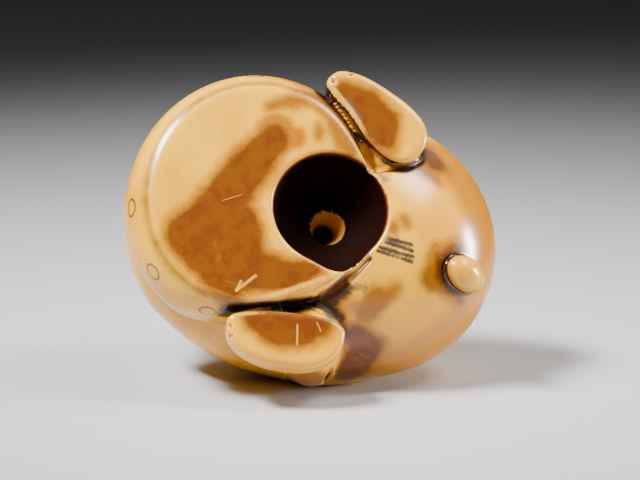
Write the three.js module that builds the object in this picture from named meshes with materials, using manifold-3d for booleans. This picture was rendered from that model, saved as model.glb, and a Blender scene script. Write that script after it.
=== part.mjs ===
// A netsuke: a hare crouching on a low round pad, carved from one piece of ivory.
//
// Millimetres throughout. The carving is shaped standing up, in a frame of its own: the flat
// underside is z = 0, +X runs to the rump and +Z up through the back, and the hare faces -X.
// At the end it is laid over on its side and back, as a netsuke rolls when it is set down to show
// its cord hole, and a small flat is cut where it touches the ground.

import * as THREE from "three";
import { mergeVertices } from "three/addons/utils/BufferGeometryUtils.js";
import Module from "manifold-3d";

const wasm = await Module();
wasm.setup();

// ---------------------------------------------------------------- driving dimensions

// The pad that the hare sits on: a drum with a flat face and a broad rounded shoulder. It is
// drawn in on the side of the rump, where the legs pass it.
const PAD = {
  centre: [1.6, -0.4],
  radius: 14.35,
  height: 7.0,
  shoulder: { inward: 2.9, upward: 4.6 },
  drawnIn: { by: 2.0, towards: 20, fullWithin: 40, goneBeyond: 115 },
};

// Sole of each hind foot, flat on the underside: an egg, blunter on the outside than the inside.
// x and y are its centre, y outward from the centre line; turn is in degrees, heel inward.
const SOLE_THICKNESS = 3.2;
const SOLE_ROUNDING = 0.9;
const SOLES = [
  { side: 1, x: 8.4, y: 11.75, long: 6.2, outer: 4.65, inner: 1.75, turn: -15, egg: 0.06, square: 2.1 },
  { side: -1, x: 9.1, y: 13.3, long: 6.3, outer: 3.5, inner: 2.4, turn: -22, egg: 0.2, square: 2.35 },
];

// The rounded masses of the animal. tilt raises the +X end, turn swings it to +Y, in degrees.
const BACK = { at: [6.2, -0.4, 13.4], radii: [18.4, 14.4, 9.9], turn: -6 };
const RUMP = { at: [13.3, -2.3, 9.6], radii: [14.2, 14.0, 9.5], turn: 10 };
const TAIL = { at: [24.1, -1.4, 2.8], radii: [2.6, 1.8, 1.7], tilt: 40 };
const HEAD = { at: [-4.8, -0.7, 19.2], radii: [7.2, 6.3, 5.9], tilt: 16 };
const MUZZLE = { at: [-9.1, -1.0, 16.5], radii: [3.8, 3.7, 3.5] };

// Paired masses, given for the +Y side.
const PAIRED = {
  haunch: { at: [11.4, 8.4, 10.8], radii: [8.0, 5.4, 7.4], turn: -8 },
  shank: { at: [10.6, 11.0, 5.8], radii: [3.9, 4.0, 5.2] },
  shoulder: { at: [-2.6, 7.8, 14.0], radii: [5.2, 3.8, 5.8], tilt: 10 },
  forepaw: { at: [-7.6, 5.9, 8.6], radii: [3.4, 2.0, 1.9], turn: 22 },
  eye: { at: [-8.2, 4.1, 19.8], radii: [1.3, 1.1, 1.3] },
  ear: { at: [5.6, 4.1, 23.5], radii: [9.0, 2.6, 1.9], turn: 5, droop: 0.028 },
};

// Cord holes: a wide dished hole in the underside, and a narrow bore from its floor to the back.
const CORD_HOLE = { at: [8.5, -1.75, -1.2], radii: [6.6, 6.2, 7.2] };
const BORE = { from: [9.2, -1.7, 2.0], to: [7.0, -0.8, 27.0], radius: 1.95 };

// How the finished carving lies, in degrees: rolled about its own up axis, leant back until its
// underside faces the front, and turned a little to the right.
const LIE = { roll: 23.7, lean: 27.0, turn: 7.7 };
const FLAT_DEPTH = 0.6;

// Facets: about this long on the masses.
const FACET = 2.8;

// ---------------------------------------------------------------- helpers

const rad = THREE.MathUtils.degToRad;
const smoothstep = (from, to, x) => THREE.MathUtils.smoothstep(x, from, to);

// A closed three.js geometry as a solid for joining and cutting.
function solid(geometry) {
  const bare = geometry.clone();
  bare.deleteAttribute("normal");
  bare.deleteAttribute("uv");
  const merged = mergeVertices(bare, 1e-5);
  return new wasm.Manifold(new wasm.Mesh({
    numProp: 3,
    vertProperties: Float32Array.from(merged.attributes.position.array),
    triVerts: Uint32Array.from(merged.index.array),
  }));
}

// Moves each vertex of a geometry by a function of its place.
function reshape(geometry, move) {
  const place = geometry.attributes.position;
  const v = new THREE.Vector3();
  for (let i = 0; i < place.count; i += 1) {
    v.fromBufferAttribute(place, i);
    move(v);
    place.setXYZ(i, v.x, v.y, v.z);
  }
  return geometry;
}

// A rounded mass: a sphere stretched to its radii, drooped along its length, then turned.
function mass({ at, radii, tilt = 0, turn = 0, droop = 0 }, side = 1) {
  const around = Math.max(14, Math.round((2 * Math.PI * Math.max(...radii)) / FACET));
  const geometry = new THREE.SphereGeometry(1, around, Math.round(around * 0.6));
  geometry.scale(...radii);
  reshape(geometry, (v) => { v.z -= droop * v.x * v.x; });
  geometry.rotateY(rad(-tilt));
  geometry.rotateZ(rad(turn * side));
  geometry.translate(at[0], at[1] * side, at[2]);
  return solid(geometry);
}

// ---------------------------------------------------------------- the pad and the soles

function pad() {
  const { inward, upward } = PAD.shoulder;
  const profile = [new THREE.Vector2(0, 0)];
  const steps = 7;
  for (let i = 0; i <= steps; i += 1) {
    const a = (i / steps) * (Math.PI / 2);
    profile.push(new THREE.Vector2(
      PAD.radius - inward + inward * Math.sin(a),
      upward - upward * Math.cos(a),
    ));
  }
  profile.push(new THREE.Vector2(PAD.radius, PAD.height), new THREE.Vector2(0, PAD.height));
  const geometry = new THREE.LatheGeometry(profile, 52);
  geometry.rotateX(Math.PI / 2);
  const { by, towards, fullWithin, goneBeyond } = PAD.drawnIn;
  reshape(geometry, (v) => {
    const reach = Math.hypot(v.x, v.y);
    if (reach === 0) return;
    const off = Math.abs(THREE.MathUtils.radToDeg(Math.atan2(v.y, v.x)) - towards);
    const around = off > 180 ? 360 - off : off;
    const drawn = 1 - (by / PAD.radius) * (1 - smoothstep(fullWithin, goneBeyond, around));
    v.x *= drawn;
    v.y *= drawn;
  });
  geometry.translate(PAD.centre[0], PAD.centre[1], 0);
  return solid(geometry);
}

function sole({ side, x, y, long, outer, inner, turn, egg, square }) {
  const outline = new THREE.Shape();
  const steps = 36;
  for (let i = 0; i < steps; i += 1) {
    const a = (i / steps) * 2 * Math.PI;
    const c = Math.cos(a);
    const s = Math.sin(a);
    const reach = (Math.abs(c) ** square + Math.abs(s) ** square) ** (-1 / square);
    const along = (long - SOLE_ROUNDING) * c * reach;
    const half = (s > 0 ? outer : inner) * (1 + (egg * along) / long) - SOLE_ROUNDING;
    outline[i === 0 ? "moveTo" : "lineTo"](along, half * s * reach);
  }
  const geometry = new THREE.ExtrudeGeometry(outline, {
    depth: SOLE_THICKNESS - 2 * SOLE_ROUNDING,
    bevelThickness: SOLE_ROUNDING,
    bevelSize: SOLE_ROUNDING,
    bevelSegments: 3,
    steps: 1,
  });
  geometry.translate(0, 0, SOLE_ROUNDING);
  geometry.rotateZ(rad(turn));
  geometry.translate(x, y, 0);
  const one = solid(geometry);
  return side > 0 ? one : one.mirror([0, 1, 0]);
}

// ---------------------------------------------------------------- the whole carving

function carving() {
  let whole = pad();
  for (const one of SOLES) whole = whole.add(sole(one));
  for (const one of [BACK, RUMP, TAIL, HEAD, MUZZLE]) whole = whole.add(mass(one));
  for (const one of Object.values(PAIRED)) {
    whole = whole.add(mass(one, 1)).add(mass(one, -1));
  }
  const bore = new THREE.Vector3(...BORE.to).sub(new THREE.Vector3(...BORE.from));
  const drill = new THREE.CylinderGeometry(BORE.radius, BORE.radius, bore.length(), 20);
  drill.rotateX(Math.PI / 2);
  drill.translate(0, 0, bore.length() / 2);
  drill.lookAt(bore);
  drill.translate(...BORE.from);
  return whole.subtract(mass(CORD_HOLE)).subtract(solid(drill));
}

// Lays the carving down, cuts the flat it lies on, and sets the middle of its base at the origin.
function layDown(shape) {
  const turned = new THREE.Matrix4()
    .makeRotationFromEuler(new THREE.Euler(rad(-LIE.lean), rad(LIE.roll), rad(LIE.turn), "ZXY"))
    .multiply(new THREE.Matrix4().makeRotationX(-Math.PI / 2));
  const lying = shape.transform(turned.elements);
  const floor = lying.boundingBox().min[2] + FLAT_DEPTH;
  const under = new THREE.BoxGeometry(100, 100, 10);
  under.translate(0, 0, floor - 5);
  const cut = lying.subtract(solid(under));
  const { min, max } = cut.boundingBox();
  return cut.translate(-(min[0] + max[0]) / 2, -(min[1] + max[1]) / 2, -floor);
}

function asGeometry(shape) {
  const mesh = shape.getMesh();
  const geometry = new THREE.BufferGeometry();
  geometry.setAttribute("position", new THREE.BufferAttribute(mesh.vertProperties, 3));
  geometry.setIndex(new THREE.BufferAttribute(mesh.triVerts, 1));
  geometry.computeVertexNormals();
  return geometry;
}

const netsuke = new THREE.Mesh(
  asGeometry(layDown(carving())),
  new THREE.MeshStandardMaterial({ color: 0xdda75d, roughness: 0.28, metalness: 0 }),
);
netsuke.name = "netsuke";

const group = new THREE.Group();
group.add(netsuke);

export default group;
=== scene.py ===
"""A netsuke: a hare crouching on a low round pad, carved from one piece of ivory and worn smooth.

It lies rolled over, as a netsuke does when it is put down, so that its flat underside, its two
soles and its wide cord hole face the front.
"""
import itertools
import math

import bpy
import numpy as np
from mathutils import Euler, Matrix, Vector


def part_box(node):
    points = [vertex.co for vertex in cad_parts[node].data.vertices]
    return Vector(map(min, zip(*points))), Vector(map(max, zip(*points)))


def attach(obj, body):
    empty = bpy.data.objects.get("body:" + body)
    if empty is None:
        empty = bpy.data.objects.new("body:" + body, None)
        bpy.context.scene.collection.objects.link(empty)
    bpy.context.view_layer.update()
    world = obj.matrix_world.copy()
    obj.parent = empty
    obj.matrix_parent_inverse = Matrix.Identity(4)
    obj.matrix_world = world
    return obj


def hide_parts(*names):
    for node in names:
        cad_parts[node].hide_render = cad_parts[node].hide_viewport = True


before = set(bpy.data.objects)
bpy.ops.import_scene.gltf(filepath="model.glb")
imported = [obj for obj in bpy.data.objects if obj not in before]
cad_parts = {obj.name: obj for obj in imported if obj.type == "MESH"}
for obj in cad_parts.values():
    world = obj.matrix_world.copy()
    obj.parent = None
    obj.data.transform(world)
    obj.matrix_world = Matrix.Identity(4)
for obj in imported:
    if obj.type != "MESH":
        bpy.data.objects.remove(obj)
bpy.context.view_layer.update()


# ---------------------------------------------------------------- camera
# A long lens well back from the carving, looking down at it a little, so that the small object
# fills the picture and its far side is hardly smaller than its near side.

CAMERA_DISTANCE = 0.42
CAMERA_ELEVATION = math.radians(12)
SENSOR_WIDTH = 36.0
FOCAL_LENGTH = 225.6
NEAREST, FARTHEST = 0.01, 20
AIM = (0.031, -0.286, 0.010)    # from the middle of the carving, as shares of its size

low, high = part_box("netsuke")
middle = (low + high) / 2
aim = middle + Vector([share * length for share, length in zip(AIM, high - low)])

camera_data = bpy.data.cameras.new("camera")
camera_data.sensor_width = SENSOR_WIDTH
camera_data.lens = FOCAL_LENGTH
camera_data.clip_start = NEAREST
camera_data.clip_end = FARTHEST
camera = bpy.data.objects.new("camera", camera_data)
camera.location = aim + CAMERA_DISTANCE * Vector(
    (0, -math.cos(CAMERA_ELEVATION), math.sin(CAMERA_ELEVATION)))
camera.rotation_euler = (math.pi / 2 - CAMERA_ELEVATION, 0, 0)
bpy.context.collection.objects.link(camera)
bpy.context.scene.camera = camera


# ---------------------------------------------------------------- light
# Soft boxes close round the carving: a broad one overhead to the left, a tall narrow one and a
# higher one on the right for the gleam down the rump, and two weak broad ones behind.

LIGHTS = [
    # name, azimuth from the front (right is +), elevation, distance, width, height, spread, watts
    ("overhead", -66, 56, 0.34, 0.17, 0.07, 40, 0.31),
    ("right_strip", 92, 8, 0.30, 0.025, 0.09, 50, 0.13),
    ("top_right", 78, 56, 0.38, 0.14, 0.14, 40, 0.085),
    ("back_left", -150, 40, 0.55, 0.30, 0.30, 60, 0.03),
    ("back_right", 140, 45, 0.55, 0.30, 0.30, 60, 0.03),
]
DIM_ROOM = (0.008, 0.008, 0.009, 1)

for name, azimuth, elevation, distance, width, height, spread, watts in LIGHTS:
    lamp = bpy.data.lights.new(name, "AREA")
    lamp.shape = "RECTANGLE"
    lamp.size, lamp.size_y = width, height
    lamp.spread = math.radians(spread)
    lamp.energy = watts
    lamp_object = bpy.data.objects.new(name, lamp)
    a, e = math.radians(azimuth), math.radians(elevation)
    towards = Vector((math.sin(a) * math.cos(e), -math.cos(a) * math.cos(e), math.sin(e)))
    lamp_object.location = middle + distance * towards
    lamp_object.rotation_euler = towards.to_track_quat("Z", "Y").to_euler()
    bpy.context.collection.objects.link(lamp_object)

world = bpy.data.worlds.new("studio")
world.use_nodes = True
world.node_tree.nodes["Background"].inputs["Color"].default_value = DIM_ROOM
bpy.context.scene.world = world


# ---------------------------------------------------------------- floor
# A sheet of pale matt acrylic, cast with a tooth so fine that it only just shows. It runs back out
# of the light.

FLOOR_SIZE = 3.0
TOOTH_PER_METRE = 1400.0    # each about 0.7 mm across
TOOTH_HEIGHT = 0.0001


def linear(hex_colour):
    """An sRGB hex colour as linear red, green, blue and full alpha."""
    values = [int(hex_colour[i:i + 2], 16) / 255 for i in (1, 3, 5)]
    return [v / 12.92 if v <= 0.04045 else ((v + 0.055) / 1.055) ** 2.4 for v in values] + [1.0]


def add_node(tree, kind, links=(), **settings):
    """Adds a shader or geometry node. links are (input, socket or value); settings are its own."""
    node = tree.nodes.new(kind)
    for key, value in settings.items():
        setattr(node, key, value)
    for key, value in links:
        if isinstance(value, bpy.types.NodeSocket):
            tree.links.new(value, node.inputs[key])
        else:
            node.inputs[key].default_value = value
    return node


bpy.ops.mesh.primitive_plane_add(size=FLOOR_SIZE)
floor = bpy.context.object
floor.name = "floor"
matt_acrylic = bpy.data.materials.new("matt acrylic")
matt_acrylic.use_nodes = True
tree = matt_acrylic.node_tree
acrylic = tree.nodes["Principled BSDF"]
acrylic.inputs["Base Color"].default_value = linear("#B4B4B5")
acrylic.inputs["Roughness"].default_value = 0.55
place = add_node(tree, "ShaderNodeTexCoord").outputs["Object"]
tooth = add_node(tree, "ShaderNodeTexNoise", [
    ("Vector", place), ("Scale", TOOTH_PER_METRE), ("Detail", 2.0)])
bump = add_node(tree, "ShaderNodeBump", [
    ("Height", tooth.outputs["Fac"]), ("Strength", 0.25), ("Distance", TOOTH_HEIGHT)])
tree.links.new(bump.outputs["Normal"], acrylic.inputs["Normal"])
floor.data.materials.append(matt_acrylic)


# ---------------------------------------------------------------- the carving: its masses
# Cut from one piece of ivory. These are its rounded masses, as a carver roughs them out, each an
# ovoid. Millimetres, standing up: the underside is z = 0, +x the rump, +z the back.

PAD_CENTRE = (1.6, -0.4)
PAD_RADIUS = 14.35
PAD_PLAN = [                # angle round the centre and radius: drawn in where the legs pass it
    (-180, 14.35), (-96, 14.35), (-84, 14.1), (-70, 13.2), (-57, 12.4), (-40, 12.1), (0, 12.0),
    (22, 11.7), (45, 11.35), (62, 11.3), (74, 11.6), (84, 12.3), (95, 13.3), (107, 14.15),
    (118, 14.35), (180, 14.35)]
PAD_HEIGHT = 7.0
SHOULDER_IN, SHOULDER_UP = 2.9, 4.6
SHOULDER_TIGHT = 0.25       # what is left of the shoulder where the pad is drawn in
TIGHT_FROM = 3.0            # how far it has to be drawn in for that

BACK = dict(at=(6.2, -0.4, 13.4), radii=(18.4, 14.4, 9.9), turn=-6)
RUMP = dict(at=(13.3, -2.3, 9.6), radii=(14.2, 14.0, 9.5), turn=10)
TAIL = dict(at=(24.1, -1.4, 2.8), radii=(2.6, 1.8, 1.7), tilt=40)
HEAD = dict(at=(-4.8, -0.4, 19.2), radii=(7.2, 6.3, 5.9), tilt=16)
MUZZLE = dict(at=(-8.8, -0.5, 16.5), radii=(3.8, 3.7, 3.5))
HAUNCH = dict(at=(11.4, 8.4, 10.8), radii=(8.0, 5.4, 7.4), turn=-8)
SHANK = dict(at=(10.6, 11.0, 5.8), radii=(3.9, 4.0, 5.2))
HOCK = dict(at=(12.2, 12.3, 7.4), radii=(2.9, 2.6, 4.2))
SHOULDER = dict(at=(-2.6, 7.8, 14.0), radii=(5.2, 3.8, 5.8), tilt=10)
FOREPAW = dict(at=(-7.6, 5.9, 8.6), radii=(3.4, 2.0, 1.9), turn=22)
EYE = dict(at=(-8.2, 4.1, 19.8), radii=(1.3, 1.1, 1.3))
EAR = dict(at=(5.6, 4.1, 23.5), radii=(9.0, 2.6, 1.9), turn=5, droop=0.028)

SOLES = [
    dict(side=1, x=8.4, y=11.75, long=6.2, outer=4.3, inner=1.65, turn=-15, egg=0.06, square=2.3),
    dict(side=-1, x=9.1, y=13.3, long=6.3, outer=3.3, inner=2.5, turn=-22, egg=0.24, square=2.5),
]
SOLE_THICKNESS = 3.2
SOLE_ROUNDING = 0.6
SOLE_EASE = 0.8             # evens out the distances round a sole's long outline
EAR_EASE = 0.85             # widens an ear's join a little

CORD_HOLE = dict(at=(8.3, -2.05, -1.2), radii=(6.3, 6.2, 7.2))
HOLE_CORNER = dict(at=(10.9, 2.1, -0.8), radii=(2.1, 2.1, 3.4))
BORE = [(8.9, -1.6, 5.2, 2.05), (8.6, -1.45, 9.2, 0.95), (7.0, -0.8, 27.0, 0.95)]

# Gutters carved round the forms: points along each, with the gutter's own radius last.
GUTTERS = [
    # between the pad and the lower foot, running into the hole
    [(13.9, 1.6, 0.5, 0.35), (13.1, 3.2, 0.8, 0.55), (12.2, 4.7, 1.3, 0.75), (11.2, 6.4, 1.7, 0.85),
     (10.1, 8.0, 1.2, 0.55), (7.6, 9.7, 0.9, 0.4), (5.0, 10.9, 0.8, 0.35), (2.0, 12.5, 1.0, 0.4)],
    # between the pad and the upper foot
    [(2.4, -14.6, 0.9, 0.4), (4.4, -13.5, 0.6, 0.4), (6.1, -12.4, 0.5, 0.5), (8.3, -10.6, 0.5, 0.6),
     (10.0, -9.0, 0.6, 0.65), (11.1, -8.0, 0.7, 0.6)],
    # round the heel of the upper foot
    [(11.1, -8.0, 0.7, 0.6), (12.7, -8.9, 0.9, 0.5), (14.4, -9.9, 1.3, 0.5), (15.5, -11.3, 2.0, 0.5),
     (15.8, -13.2, 3.0, 0.4)],
    # round the heel of the lower foot, and on between its hock and the haunch
    [(10.4, 8.0, 1.4, 0.6), (12.4, 8.3, 1.9, 0.6), (14.0, 9.0, 2.3, 0.55), (14.9, 10.6, 2.8, 0.5),
     (15.0, 12.4, 4.0, 0.55), (14.8, 13.6, 6.2, 0.6), (14.2, 13.2, 9.0, 0.4)],
    # in front of the hock, behind the sole
    [(9.2, 13.4, 4.2, 0.7), (9.4, 14.4, 6.4, 0.6), (9.6, 14.0, 9.0, 0.4)],
]
UNDERCUT = [                # below the pad: angle round its centre, reach, height and radius
    (-170, 14.7, 6.2, 0.3), (170, 14.7, 5.8, 0.3), (142, 14.8, 6.0, 0.5), (126, 14.9, 6.6, 0.75),
    (113, 15.0, 7.0, 1.05), (101, 14.9, 7.0, 1.25), (90, 14.5, 6.8, 1.35), (78, 13.8, 6.4, 1.3),
    (66, 12.9, 5.8, 1.0)]
NOTCHES = [                 # between the toes, at the edge of each sole
    [(1.7, 14.3, 0.2, 0.3), (2.9, 13.9, 0.2, 0.2)],
    [(2.2, 15.4, 1.2, 0.25), (3.6, 14.6, 0.3, 0.12)],
    [(2.8, -15.3, 0.2, 0.3), (3.9, -15.1, 0.2, 0.18)],
    [(4.9, -17.6, 0.4, 0.35), (5.2, -16.6, 0.1, 0.2)],
    [(8.8, -17.6, 0.4, 0.3), (8.7, -16.6, 0.1, 0.15)],
]
FILLET = dict(              # how far each form is rounded into what it joins or is cut from
    rump=2.5, haunch=1.0, shank=0.8, hock=0.5, forepaw=1.2, shoulder=0.7, muzzle=2.2, head=0.8,
    ear=0.4, eye=0.2, tail=0.3, pad=0.25, pad_back=0.8, sole=0.2, undercut=0.5, gutter=0.16,
    notch=0.12, hole_corner=1.6, hole=0.3, bore=0.25)
GOUGE_MARGIN = 1.0          # how far round a line of rods its cut is worked out


def blend(a, b, reach):
    """Joins two forms with a fillet of about that reach."""
    h = np.clip(0.5 + 0.5 * (b - a) / reach, 0, 1)
    return b + (a - b) * h - reach * h * (1 - h)


def cut(a, b, reach):
    """Takes form b out of form a, and leaves a soft edge."""
    return -blend(-a, b, reach)


def swing(first, second, degrees):
    """Turns a pair of coordinates back by an angle, so that a form seems turned by it."""
    c, s = math.cos(math.radians(degrees)), math.sin(math.radians(degrees))
    return first * c + second * s, second * c - first * s


def ovoid(p, at, radii, tilt=0, turn=0, droop=0, side=1):
    """How far each point is outside an ovoid: tilt raises its +x end and turn swings it to +y."""
    x, y, z = p[:, 0] - at[0], p[:, 1] * side - at[1], p[:, 2] - at[2]
    x, y = swing(x, y, turn)
    x, z = swing(x, z, tilt)
    z = z + droop * x * x
    rx, ry, rz = radii
    reach = np.sqrt((x / rx) ** 2 + (y / ry) ** 2 + (z / rz) ** 2)
    rise = np.sqrt((x / rx ** 2) ** 2 + (y / ry ** 2) ** 2 + (z / rz ** 2) ** 2)
    return reach * (reach - 1) / np.maximum(rise, 1e-6)


def rod(p, start, end, radius, end_radius):
    """How far each point is outside a round rod that may taper."""
    start, end = np.array(start), np.array(end)
    run = end - start
    along = np.clip(((p - start) @ run) / (run @ run), 0, 1)
    off_line = np.linalg.norm(p - start - along[:, None] * run, axis=1)
    return off_line - radius - (end_radius - radius) * along


def stroke(p, line):
    """How far each point is outside a line of rods, given as (x, y, z, radius) points."""
    if len(line) == 1:
        return np.linalg.norm(p - line[0][:3], axis=1) - line[0][3]
    spans = zip(line, line[1:])
    return np.min([rod(p, a[:3], b[:3], a[3], b[3]) for a, b in spans], axis=0)


def gouged(form, p, line, reach):
    """Cuts a line of rods out of a form, worked out only for the points near it."""
    places = np.array([point[:3] for point in line])
    widest = max(point[3] for point in line)
    above = p > places.min(0) - widest - GOUGE_MARGIN
    below = p < places.max(0) + widest + GOUGE_MARGIN
    near = (above & below).all(1)
    form[near] = cut(form[near], stroke(p[near], line), reach)
    return form


def through(table, x):
    """A smooth curve through a table of (place, value) pairs."""
    places, values = np.array(table, dtype=float).T
    slopes = np.gradient(values, places)
    i = np.clip(np.searchsorted(places, x) - 1, 0, len(places) - 2)
    span = places[i + 1] - places[i]
    t = (x - places[i]) / span
    return (values[i] * (1 + 2 * t) * (1 - t) ** 2 + values[i + 1] * t * t * (3 - 2 * t)
            + span * t * (1 - t) * (slopes[i] * (1 - t) - slopes[i + 1] * t))


def pad(p):
    """How far each point is outside the drum, with its rounded shoulder at the underside."""
    x, y, z = p[:, 0] - PAD_CENTRE[0], p[:, 1] - PAD_CENTRE[1], p[:, 2]
    radius = through(PAD_PLAN, np.degrees(np.arctan2(y, x)))
    drawn_in = np.clip((PAD_RADIUS - radius) / TIGHT_FROM, 0, 1)
    tight = 1 - (1 - SHOULDER_TIGHT) * drawn_in
    across, up = SHOULDER_IN * tight, SHOULDER_UP * tight
    out = np.hypot(x, y) - radius
    round_x = np.maximum(out + across, 0) / across
    round_z = np.maximum(up - z, 0) / up
    shoulder = (np.hypot(round_x, round_z) - 1) * across
    wall = np.where((round_x > 0) & (round_z > 0), shoulder, np.maximum(out, -z))
    return -blend(-wall, PAD_HEIGHT - z, FILLET["pad_back"])


def sole(p, side, x, y, long, outer, inner, turn, egg, square):
    """How far each point is outside a flat sole: an egg, fuller on its outer side."""
    along, over = swing(p[:, 0] - x, p[:, 1] * side - y, turn)
    half = np.where(over > 0, outer, inner) * (1 + egg * along / long)
    ratio = (np.abs(along / long) ** square + np.abs(over / half) ** square) ** (1 / square)
    reach = np.hypot(along, over)
    out = (reach - reach / np.maximum(ratio, 1e-4)) * SOLE_EASE + SOLE_ROUNDING
    thick = np.abs(p[:, 2] - SOLE_THICKNESS / 2) - SOLE_THICKNESS / 2 + SOLE_ROUNDING
    corner = np.hypot(np.maximum(out, 0), np.maximum(thick, 0))
    return corner + np.minimum(np.maximum(out, thick), 0) - SOLE_ROUNDING


def animal(p):
    """How far each point is outside the hare, without its pad and soles."""
    form = blend(ovoid(p, **BACK), ovoid(p, **RUMP), FILLET["rump"])
    for side in (1, -1):
        form = blend(form, ovoid(p, **HAUNCH, side=side), FILLET["haunch"])
        form = blend(form, ovoid(p, **SHANK, side=side), FILLET["shank"])
        form = blend(form, ovoid(p, **HOCK, side=side), FILLET["hock"])
        shoulder, forepaw = ovoid(p, **SHOULDER, side=side), ovoid(p, **FOREPAW, side=side)
        form = blend(form, blend(shoulder, forepaw, FILLET["forepaw"]), FILLET["shoulder"])
    head = blend(ovoid(p, **HEAD), ovoid(p, **MUZZLE), FILLET["muzzle"])
    form = blend(form, head, FILLET["head"])
    for side in (1, -1):
        form = blend(form, EAR_EASE * ovoid(p, **EAR, side=side), FILLET["ear"])
        form = blend(form, ovoid(p, **EYE, side=side), FILLET["eye"])
    return blend(form, ovoid(p, **TAIL), FILLET["tail"])


def round_pad(angle, reach, height, radius):
    """A point of a gutter round the pad."""
    a = math.radians(angle)
    return (PAD_CENTRE[0] + reach * math.cos(a), PAD_CENTRE[1] + reach * math.sin(a), height, radius)


undercut = [round_pad(*place) for place in UNDERCUT]


def cord_hole(p):
    """How far each point is outside the cord hole: a dish with one blunt corner, and its bore."""
    dish = blend(ovoid(p, **CORD_HOLE), ovoid(p, **HOLE_CORNER), FILLET["hole_corner"])
    return dish, stroke(p, BORE)


def carving(p):
    """How far each point is outside the finished form, before the fine lines are cut."""
    form = blend(animal(p), pad(p), FILLET["pad"])
    form = gouged(form, p, undercut, FILLET["undercut"])
    for one in SOLES:
        form = blend(form, sole(p, **one), FILLET["sole"])
    for line in GUTTERS:
        form = gouged(form, p, line, FILLET["gutter"])
    for line in NOTCHES:
        form = gouged(form, p, line, FILLET["notch"])
    dish, bore = cord_hole(p)
    form = cut(cut(form, dish, FILLET["hole"]), bore, FILLET["bore"])
    return np.maximum(form, -p[:, 2])


# How it lies, in degrees: rolled about its own up axis, leant back and turned.
ROLL, LEAN, TURN = 23.7, 27.0, 7.7
LIE = Euler((math.radians(-LEAN), math.radians(ROLL), math.radians(TURN)), "YXZ")
stand_to_lie = np.array(LIE.to_matrix() @ Euler((-math.pi / 2, 0, 0)).to_matrix())


# ---------------------------------------------------------------- the carving: its surface
# The masses become one closed skin of small four-sided faces, finest at the underside, where the
# carving is crisp, and coarser at the plain back.

BOX_LOW, BOX_HIGH = (-14.4, -18.8, -0.6), (29.0, 18.0, 27.0)
STEP = 0.285                # between places, along and across
FINE_STEP = 0.18            # round the lower gutter and the rough patch, and at the underside
FINE_X, FINE_Y = (9, 19), (-2, 10)
BACK_STEP = 0.46            # between heights, this far or more above the underside
BACK_FROM = 12
SKIP = 4                    # a first look at every fourth place finds where the skin runs
NEAR_SKIN = 2.2 * SKIP * STEP


def spaced(start, stop, step):
    """Places from start to stop, as far apart as step says for each place."""
    places = [start]
    while places[-1] < stop:
        places.append(places[-1] + step(places[-1]))
    return np.array(places)


def sampled(form, axes):
    """The form's value on a grid, worked out exactly only near its skin."""
    coarse_axes = [axis[::SKIP] for axis in axes]
    coarse = np.stack(np.meshgrid(*coarse_axes, indexing="ij"), -1).reshape(-1, 3)
    values = form(coarse).reshape([len(axis) for axis in coarse_axes])
    nearest = [np.minimum((np.arange(len(axis)) + SKIP // 2) // SKIP, len(axis[::SKIP]) - 1)
               for axis in axes]
    full = values[np.ix_(*nearest)].astype(np.float64)
    near = np.abs(full) < NEAR_SKIN
    where = np.argwhere(near)
    points = np.stack([axes[i][where[:, i]] for i in range(3)], -1)
    full[near] = form(points)
    return full


def skin(form, axes):
    """Corners and four-sided faces of the surface where the form is zero."""
    value = sampled(form, axes)
    inside = value < 0
    shape = [len(axis) - 1 for axis in axes]
    corners = list(itertools.product((0, 1), repeat=3))
    stacked = np.stack([
        inside[i:i + shape[0], j:j + shape[1], k:k + shape[2]] for i, j, k in corners])
    crossed = np.argwhere(stacked.any(0) & ~stacked.all(0))
    total, count = np.zeros((len(crossed), 3)), np.zeros(len(crossed))
    for a, b in itertools.combinations(corners, 2):
        if sum(abs(m - n) for m, n in zip(a, b)) != 1:
            continue
        at_a, at_b = crossed + a, crossed + b
        va, vb = value[tuple(at_a.T)], value[tuple(at_b.T)]
        hit = (va < 0) != (vb < 0)
        t = np.where(hit, va / np.where(va == vb, 1, va - vb), 0)[:, None]
        pa = np.stack([axes[i][at_a[:, i]] for i in range(3)], -1)
        pb = np.stack([axes[i][at_b[:, i]] for i in range(3)], -1)
        total += np.where(hit[:, None], pa + t * (pb - pa), 0)
        count += hit
    number = np.full(shape, -1)
    number[tuple(crossed.T)] = np.arange(len(crossed))
    faces = []
    for axis in range(3):
        u, v = [i for i in range(3) if i != axis]
        up_u, up_v = np.eye(3, dtype=int)[[u, v]]
        ahead = np.roll(inside, -1, axis)
        change = np.argwhere(inside != ahead)
        keep = (change[:, axis] < shape[axis]) & (change[:, u] > 0) & (change[:, v] > 0)
        keep &= (change[:, u] < shape[u]) & (change[:, v] < shape[v])
        change = change[keep]
        ring = [change - up_u - up_v, change - up_v, change, change - up_u]
        quad = np.stack([number[tuple(cell.T)] for cell in ring], -1)
        outward = inside[tuple(change.T)] ^ (axis == 1)
        faces.append(np.where(outward[:, None], quad, quad[:, ::-1]))
    return total / count[:, None], np.concatenate(faces)


def slope(form, points, step=0.05):
    """Which way a form rises at each point, and how steeply."""
    nudges = np.eye(3) * step
    return np.stack([form(points + n) - form(points - n) for n in nudges], -1) / (2 * step)


def unit(vectors):
    """The same directions, each one long."""
    return vectors / np.maximum(np.linalg.norm(vectors, axis=1, keepdims=True), 1e-9)


# The flat that it lies on: a level plane that trims the lowest part of the haunch and back.
FLAT_DEPTH = 0.6
PROBE_STEP = 1.2
probe_axes = [spaced(a, b, lambda at: PROBE_STEP) for a, b in zip(BOX_LOW, BOX_HIGH)]
probe, _ = skin(carving, probe_axes)
ground = (probe @ stand_to_lie[2]).min() + FLAT_DEPTH


def trimmed(p):
    """How far each point is outside the carving with its flat cut."""
    return np.maximum(carving(p), ground - p @ stand_to_lie[2])


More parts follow.
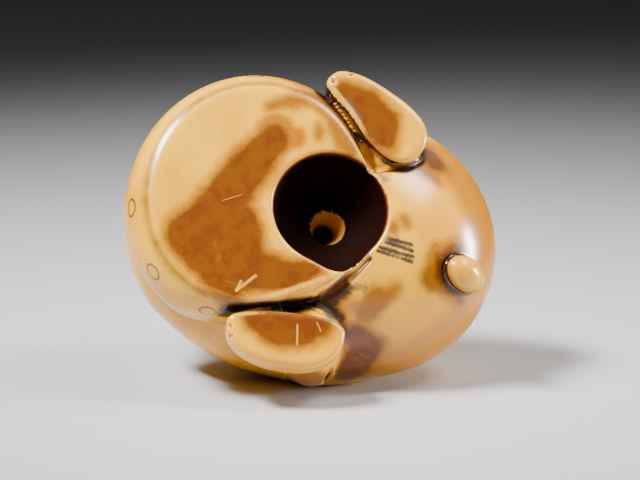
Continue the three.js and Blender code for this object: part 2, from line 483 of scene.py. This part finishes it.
def height_step(z):
    """How far the next height is: finest at the underside."""
    return FINE_STEP + (BACK_STEP - FINE_STEP) * min(max(z, 0) / BACK_FROM, 1)


axes = [spaced(BOX_LOW[0], BOX_HIGH[0], lambda x: FINE_STEP if FINE_X[0] < x < FINE_X[1] else STEP),
        spaced(BOX_LOW[1], BOX_HIGH[1], lambda y: FINE_STEP if FINE_Y[0] < y < FINE_Y[1] else STEP),
        spaced(BOX_LOW[2], BOX_HIGH[2], height_step)]
points, faces = skin(trimmed, axes)

# Each corner is slid on to the true surface, twice over, a little at a time.
MOST_SLIDE = 0.3 * STEP
FLATTEST = 0.05
for _ in range(2):
    rise = slope(trimmed, points)
    steep = np.maximum((rise ** 2).sum(1), FLATTEST)
    move = -(trimmed(points) / steep)[:, None] * rise
    points += np.clip(move, -MOST_SLIDE, MOST_SLIDE)

lying = points @ stand_to_lie.T
shift = np.array([*(-(lying.min(0) + lying.max(0)) / 2)[:2], -ground])
lying = (lying + shift) / 1000 + np.array([middle.x, middle.y, low.z])

mesh = bpy.data.meshes.new("carved_ivory")
mesh.from_pydata(lying.tolist(), [], faces.tolist())
mesh.shade_smooth()
carved = bpy.data.objects.new("carved_ivory", mesh)
bpy.context.collection.objects.link(carved)


# ---------------------------------------------------------------- the carving: stain and wear
# Old ivory was stained and then handled for years: tea-brown blots, near-black dirt and painted shade
# in the hole and the gutters, and pale worn edges. Each is kept as a value at the corners of the mesh.

# Blots, as lines of (x, y, z, radius) in the carving's own millimetres.
BROWN = [
    # the underside
    [(0.2, -7.0, 0, 1.3), (-1.2, -3.0, 0, 1.9), (-2.4, 1.5, 0, 2.2)],
    [(-2.5, 3.0, 0, 2.4), (-4.6, 6.4, 0, 2.1), (-2.5, 8.0, 0, 1.7)],
    [(-0.5, 3.5, 0, 2.4), (1.6, 6.8, 0, 2.3)],
    [(-0.8, 9.2, 0, 1.4), (1.5, 10.2, 0, 1.2)],
    [(2.5, 7.5, 0, 2.2), (6.2, 6.8, 0, 1.5), (9.0, 5.0, 0, 0.7)],
    # the soles
    [(5.2, 12.2, 0, 1.1), (7.5, 12.3, 0, 1.7), (10.0, 11.4, 0, 1.7), (11.9, 10.2, 0, 0.8)],
    [(5.5, -14.4, 0, 0.9), (8.0, -13.9, 0, 1.6), (10.0, -12.6, 0, 1.8), (11.0, -11.4, 0, 1.1)],
    # the haunch beside the lower foot
    [(15.6, 8.8, 4.0, 1.0), (17.2, 9.6, 5.0, 1.6), (16.6, 11.8, 8.0, 1.8)],
    # the hollow under the pad and behind the lower foot
    [(-8.5, 11.0, 6.6, 0.4), (-5.5, 13.2, 7.2, 0.8), (-1.0, 14.8, 7.4, 1.2), (5.0, 15.3, 6.8, 1.6),
     (9.0, 14.8, 5.5, 1.4)],
    # above the upper foot
    [(15.8, -12.6, 3.5, 0.7), (17.0, -11.8, 3.2, 0.9)],
    # round the tail
    [(20.9, -1.6, 1.5, 0.25), (21.6, -0.2, 1.9, 0.45), (22.8, 0.6, 3.0, 0.4), (24.8, 0.9, 4.6, 0.2)],
    [(20.9, -1.6, 1.5, 0.25), (21.9, -3.3, 2.0, 0.35), (23.6, -4.1, 2.8, 0.25), (25.4, -3.4, 3.4, 0.2)],
]
GOLDEN = [
    [(-1.5, -10.0, 0, 0.5), (0.2, -11.4, 0, 0.7), (3.0, -12.8, 0, 0.9), (5.5, -11.5, 0, 1.2),
     (7.2, -9.6, 0, 1.1), (8.8, -8.6, 0, 0.7)],
    [(4.1, -10.2, 0, 0.2), (4.5, -8.6, 0, 0.2)],
    [(0.2, -7.6, 0, 1.9), (2.0, -7.8, 0, 1.0)],
    [(15.9, -4.0, 0.5, 0.5), (16.5, -3.4, 0.5, 0.4)],
    [(15.2, -2.6, 0.2, 0.5)],
    [(16.2, 4.6, 1.6, 1.0), (15.6, 6.6, 2.4, 1.1), (17.6, 3.2, 1.6, 0.7)],
    [(15.0, -10.2, 2.0, 0.4), (18.0, -9.6, 2.0, 0.5)],
    [(21.2, 0.4, 1.9, 1.4), (20.6, -2.2, 1.4, 0.9)],
    [(12.4, 15.0, 6.5, 2.6)],
]
AMBER = [
    [(18.0, -13.5, 5.0, 2.2), (22.5, -10.0, 5.0, 3.0), (26.5, -4.5, 6.0, 3.0), (27.0, 2.0, 7.0, 3.2),
     (23.5, 7.5, 7.5, 3.4), (19.5, 11.0, 8.0, 3.2)],
    [(-3.0, -14.4, 3.0, 1.4), (2.0, -14.8, 2.6, 1.8), (7.0, -13.5, 3.0, 1.6)],
    [(-9.0, 11.0, 9.0, 2.2), (-3.0, 15.0, 9.0, 2.2), (4.0, 16.0, 8.0, 2.2)],
]
GRIME = [
    [(15.2, -1.0, 0.2, 0.3), (17.4, -1.3, 0.6, 0.35)],
    [(15.0, 0.2, 0.3, 0.3), (18.0, -0.2, 0.8, 0.35)],
    [(5.9, -13.5, 0, 0.25), (6.8, -12.9, 0, 0.15), (7.6, -12.1, 0, 0.3)],
    [(11.6, 7.2, 2.3, 0.9), (12.5, 6.0, 1.8, 0.75), (13.4, 4.8, 1.4, 0.45)],
    [(12.2, 8.0, 2.6, 0.8), (13.6, 7.8, 3.0, 0.55)],
    [(13.9, 4.6, 1.5, 0.3), (14.6, 4.4, 1.6, 0.4)],
    [(11.2, -8.0, 0.6, 0.35), (12.6, -7.4, 0.5, 0.5)],
]


def blots(lines):
    """How far each corner is outside the nearest of some blots, in millimetres."""
    return np.min([stroke(points, line) for line in lines], axis=0)


# A corner is hollow where ivory still lies close above it, looked for at three reaches, and there
# its colour is darkened below, as dirt and as painted shade. It is worn where the ivory below it is
# thin. In the hole it keeps its height, and elsewhere OUTSIDE.
HOLLOW_REACHES = ((0.5, 0.4), (1.1, 0.35), (2.4, 0.25))     # reach and weight
WORN_REACH = 0.7
HOLE_LIP, BORE_LIP = 0.12, 0.3
OUTSIDE = -1.0

normal = unit(slope(trimmed, points))
hollow = np.zeros(len(points))
for reach, weight in HOLLOW_REACHES:
    hollow += weight * np.clip(1 - carving(points + normal * reach) / reach, 0, 1)
worn = np.clip(1 + carving(points - normal * WORN_REACH) / WORN_REACH, 0, 1)
dish, bore = cord_hole(points)
in_hole = (dish < HOLE_LIP) | (bore < HOLE_LIP)
depth = np.where(in_hole, points[:, 2], OUTSIDE)
in_bore = np.where(bore < BORE_LIP, points[:, 2], OUTSIDE)

for name, values in [("brown", blots(BROWN)), ("golden", blots(GOLDEN)), ("amber", blots(AMBER)),
                     ("grime", blots(GRIME)), ("hollow", hollow), ("worn", worn),
                     ("hole_depth", depth), ("bore_depth", in_bore)]:
    layer = mesh.attributes.new(name, "FLOAT", "POINT")
    layer.data.foreach_set("value", values.astype(np.float32))
layer = mesh.attributes.new("carved_place", "FLOAT_VECTOR", "POINT")
layer.data.foreach_set("vector", points.astype(np.float32).ravel())


# ---------------------------------------------------------------- the carving: polished ivory
# Ivory takes a high polish by hand and lets a little light into itself. Years of handling leave
# it glossy and warm in colour, with fine scratches, and dull only where dirt fills the hollows.

IVORY_IOR = 1.54
LIGHT_WITHIN = 0.06         # how much of the light goes into the ivory, and how far, in metres
LIGHT_DEPTH = 0.0012
ivory = bpy.data.materials.new("polished ivory")
ivory.use_nodes = True
tree = ivory.node_tree
polish = tree.nodes["Principled BSDF"]
polish.inputs["IOR"].default_value = IVORY_IOR
polish.inputs["Subsurface Weight"].default_value = LIGHT_WITHIN
polish.inputs["Subsurface Radius"].default_value = (1.0, 0.45, 0.2)
polish.inputs["Subsurface Scale"].default_value = LIGHT_DEPTH

value = {name: add_node(tree, "ShaderNodeAttribute", attribute_name=name).outputs["Fac"]
         for name in ("brown", "golden", "amber", "grime", "hollow", "worn", "hole_depth",
                      "bore_depth")}
place = add_node(tree, "ShaderNodeAttribute", attribute_name="carved_place").outputs["Vector"]

# Clouds tint the ivory, mottling breaks the edges of the stains, and specks make them grainy.
# Sizes are millimetres across.
CLOUD_SIZE, MOTTLE_SIZE, SPECK_SIZE = 7, 2, 0.3
clouds = add_node(tree, "ShaderNodeTexNoise", [
    ("Vector", place), ("Scale", 1 / CLOUD_SIZE), ("Detail", 3.0)]).outputs["Fac"]
mottle = add_node(tree, "ShaderNodeTexNoise", [
    ("Vector", place), ("Scale", 1 / MOTTLE_SIZE), ("Detail", 5.0),
    ("Roughness", 0.62)]).outputs["Fac"]
specks = add_node(tree, "ShaderNodeTexNoise", [
    ("Vector", place), ("Scale", 1 / SPECK_SIZE), ("Detail", 3.0),
    ("Roughness", 0.6)]).outputs["Fac"]


def fade(amount, start, end, low=0.0, high=1.0):
    """Turns a value into one that runs smoothly from low at start to high at end."""
    if start < end:
        ends = [("From Min", start), ("From Max", end), ("To Min", low), ("To Max", high)]
    else:
        ends = [("From Min", end), ("From Max", start), ("To Min", high), ("To Max", low)]
    return add_node(tree, "ShaderNodeMapRange", [("Value", amount), *ends],
                    interpolation_type="SMOOTHSTEP").outputs["Result"]


def ragged(distance, wander, grain):
    """Shifts a distance to and fro with the mottling and specks, so that its edge is uneven."""
    by_mottle = add_node(tree, "ShaderNodeMath", [
        (0, mottle), (1, wander), (2, distance)], operation="MULTIPLY_ADD").outputs[0]
    return add_node(tree, "ShaderNodeMath", [
        (0, specks), (1, grain), (2, by_mottle)], operation="MULTIPLY_ADD").outputs[0]


def tinted(under, over, amount):
    """Lays one colour over another. Either may be a hex colour."""
    colours = [(key, linear(colour) if isinstance(colour, str) else colour)
               for key, colour in (("Color1", under), ("Color2", over))]
    return add_node(tree, "ShaderNodeMixRGB", [("Fac", amount), *colours]).outputs["Color"]


# Cream ivory, more amber where the clouds say and towards the rump and the rims.
colour = tinted("#F0AE14", "#E29A08", fade(clouds, 0.36, 0.66))
colour = tinted(colour, "#B47206", fade(ragged(value["amber"], 2.0, 0.0), 3.0, 0.0))

# Tea-coloured stain: a golden edge and then brown, redder and patchy inside.
colour = tinted(colour, "#8E4E06", fade(ragged(value["golden"], 1.6, 0.3), 1.9, 0.5, high=0.9))
colour = tinted(colour, "#AC6A04", fade(ragged(value["brown"], 1.6, 0.3), 2.5, 1.3, high=0.9))
patchy_brown = tinted("#74400A", "#6A3410", fade(mottle, 0.42, 0.60))
colour = tinted(colour, patchy_brown, fade(ragged(value["brown"], 1.6, 0.5), 1.7, 0.8))

# Dirt and painted shade darken the hollows, first brown and then nearly black, and the edges wear pale.
colour = tinted(colour, "#5A2A08", fade(ragged(value["hollow"], -0.15, -0.05), 0.08, 0.26, high=0.9))
colour = tinted(colour, "#180802", fade(ragged(value["hollow"], -0.15, -0.05), 0.24, 0.48, high=0.92))
colour = tinted(colour, "#33201C", fade(ragged(value["grime"], 1.2, 0.8), 1.4, 0.6, high=0.92))
colour = tinted(colour, "#F4B63C", fade(value["worn"], 0.25, 0.6, high=0.6))

# Little rings are scratched in round the pad and inked, one every thirty degrees. Those near one
# place are worn away, and they stop four spacings from it.
RING_APART, FIRST_RING, WORN_AWAY = math.radians(30), math.radians(6), math.radians(21)
RING_HEIGHT, RING_RADIUS, RING_LINE = 2.2, 0.92, 0.2
RING_WIDER = 1.25           # how much wider than high a ring is
FURTHEST_RING = 4           # these two in spacings
RING_FADE = 0.03
centred = add_node(tree, "ShaderNodeVectorMath", [
    (0, place), (1, (*PAD_CENTRE, RING_HEIGHT))], operation="SUBTRACT").outputs[0]
away = add_node(tree, "ShaderNodeSeparateXYZ", [("Vector", centred)]).outputs
backwards = [add_node(tree, "ShaderNodeMath", [
    (0, away[i]), (1, -1.0)], operation="MULTIPLY").outputs[0] for i in (0, 1)]
angle = add_node(tree, "ShaderNodeMath", [(0, backwards[1]), (1, backwards[0])],
                 operation="ARCTAN2").outputs[0]
turned = add_node(tree, "ShaderNodeMath", [
    (0, angle), (1, FIRST_RING)], operation="SUBTRACT").outputs[0]
to_ring = add_node(tree, "ShaderNodeMath", [
    (0, turned), (1, -RING_APART / 2), (2, RING_APART / 2)], operation="WRAP").outputs[0]
round_way = add_node(tree, "ShaderNodeMath", [
    (0, to_ring), (1, PAD_RADIUS)], operation="MULTIPLY").outputs[0]
up_way = add_node(tree, "ShaderNodeMath", [
    (0, away[2]), (1, RING_WIDER)], operation="MULTIPLY").outputs[0]
on_wall = add_node(tree, "ShaderNodeCombineXYZ", [("X", round_way), ("Y", up_way)]).outputs[0]
from_ring = add_node(tree, "ShaderNodeVectorMath", [(0, on_wall)], operation="LENGTH").outputs["Value"]
near_line = add_node(tree, "ShaderNodeMath", [
    (0, from_ring), (1, RING_RADIUS)], operation="SUBTRACT").outputs[0]
near_line = add_node(tree, "ShaderNodeMath", [(0, near_line)], operation="ABSOLUTE").outputs[0]
ring_ink = fade(near_line, RING_LINE, RING_LINE / 3, high=0.85)
from_worn = add_node(tree, "ShaderNodeMath", [
    (0, angle), (1, WORN_AWAY)], operation="SUBTRACT").outputs[0]
from_worn = add_node(tree, "ShaderNodeMath", [(0, from_worn)], operation="ABSOLUTE").outputs[0]
kept = fade(from_worn, RING_APART, RING_APART * (1 + RING_FADE))
ended = fade(from_worn, RING_APART * (FURTHEST_RING + RING_FADE), RING_APART * FURTHEST_RING)
for held in (kept, ended):
    ring_ink = add_node(tree, "ShaderNodeMath", [
        (0, ring_ink), (1, held)], operation="MULTIPLY").outputs[0]


def drawn(colour, start, end, width, strength, line="#1C0C0A"):
    """Draws a thin line from one point to another, in the carving's own millimetres."""
    start, end = Vector(start), Vector(end)
    run = end - start
    offset = add_node(tree, "ShaderNodeVectorMath", [
        (0, place), (1, start)], operation="SUBTRACT").outputs[0]
    along = add_node(tree, "ShaderNodeVectorMath", [
        (0, offset), (1, run / run.length_squared)], operation="DOT_PRODUCT").outputs["Value"]
    held = add_node(tree, "ShaderNodeClamp", [("Value", along)]).outputs[0]
    foot = add_node(tree, "ShaderNodeVectorMath", [
        (0, run), ("Scale", held)], operation="SCALE").outputs[0]
    gap = add_node(tree, "ShaderNodeVectorMath", [
        (0, offset), (1, foot)], operation="DISTANCE").outputs["Value"]
    uneven = add_node(tree, "ShaderNodeMath", [(0, specks), (1, width), (2, gap)],
                      operation="MULTIPLY_ADD").outputs[0]
    return tinted(colour, line, fade(uneven, width * 1.6, width * 0.9, high=strength))


colour = tinted(colour, "#2A1206", ring_ink)

# A hair crack runs below the rings, and a patch of four short strokes is cut beside the hole.
HAIR_CRACK = [round_pad(*at, 0)[:3] for at in (
    (123, 14.1, 3.6), (114, 14.25, 4.0), (106, 14.3, 4.4), (100, 14.3, 4.1), (94, 14.2, 4.6),
    (87, 13.9, 4.4))]
CRACK_WIDTH, STROKE_WIDTH = 0.12, 0.26
for start, end in zip(HAIR_CRACK, HAIR_CRACK[1:]):
    colour = drawn(colour, start, end, CRACK_WIDTH, 0.75)
STROKES = [((15.3, -1.2, 0.1), (17.6, -1.6, 0.6)), ((15.0, -0.7, 0.1), (17.9, -1.0, 0.7)),
           ((14.6, 0.0, 0.3), (18.2, -0.5, 0.8)), ((14.5, 0.45, 0.4), (18.3, 0.1, 0.9))]
for start, end in STROKES:
    colour = drawn(colour, start, end, STROKE_WIDTH, 0.92)

# The pad's worn edge beside the lower foot shows pale, and so do a nick and some fine scratches.
PALE_MARKS = [((3.6, 11.0, 0), (7.0, 8.3, 0), 0.36), ((7.0, 8.3, 0), (10.3, 5.4, 0.1), 0.32),
              ((2.2, 10.1, 0), (3.5, 7.9, 0), 0.2), ((2.2, 10.1, 0), (2.3, 9.0, 0), 0.18),
              ((-2.6, 1.6, 0), (-0.9, 0.2, 0), 0.04),
              ((9.4, 11.2, 0), (10.1, 13.2, 0), 0.13), ((11.2, 10.2, 0), (11.9, 10.9, 0), 0.08)]
for start, end, width in PALE_MARKS:
    colour = drawn(colour, start, end, width, 0.6, "#F0B040")
SCRATCH_SPACING, SCRATCH_LENGTH = 0.16, 4.0
SCRATCH_TURNS = (0.5, 1.25, 2.4)    # in radians
for turn in SCRATCH_TURNS:
    lined_up = add_node(tree, "ShaderNodeMapping", [
        ("Vector", place), ("Rotation", (0, 0, turn)),
        ("Scale", (1 / SCRATCH_LENGTH, 1 / SCRATCH_SPACING, 0.05))]).outputs[0]
    scratches = add_node(tree, "ShaderNodeTexNoise", [
        ("Vector", lined_up), ("Scale", 1.0), ("Detail", 1.0)]).outputs["Fac"]
    colour = tinted(colour, "#E8A04A", fade(scratches, 0.74, 0.80, high=0.22))

# The hole is darker deeper in, as stain and as painted shade, and its rim is worn pale. A band of its
# bore is bare pale ivory, and deeper in, the bore is painted near-black as shade.
colour = tinted(colour, "#7A3206", fade(value["hole_depth"], 0.25, 0.5))
colour = tinted(colour, "#140401", fade(value["hole_depth"], 0.5, 1.1))
colour = tinted(colour, "#F0A848", fade(ragged(value["bore_depth"], 0.6, 1.2), 6.7, 7.1))
colour = tinted(colour, "#050100", fade(value["bore_depth"], 8.2, 9.2))

tree.links.new(colour, polish.inputs["Base Color"])
dull = fade(value["grime"], 0.5, -0.1, 0.22, 0.6)
deep = fade(value["hole_depth"], 0.4, 0.9, 0.0, 0.5)
roughness = add_node(tree, "ShaderNodeMath", [(0, dull), (1, deep)], operation="ADD").outputs[0]
tree.links.new(roughness, polish.inputs["Roughness"])
tree.links.new(fade(value["hole_depth"], 0.4, 0.9, 0.5, 0.03), polish.inputs["Specular IOR Level"])
mesh.materials.append(ivory)

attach(carved, "root")
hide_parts("netsuke")
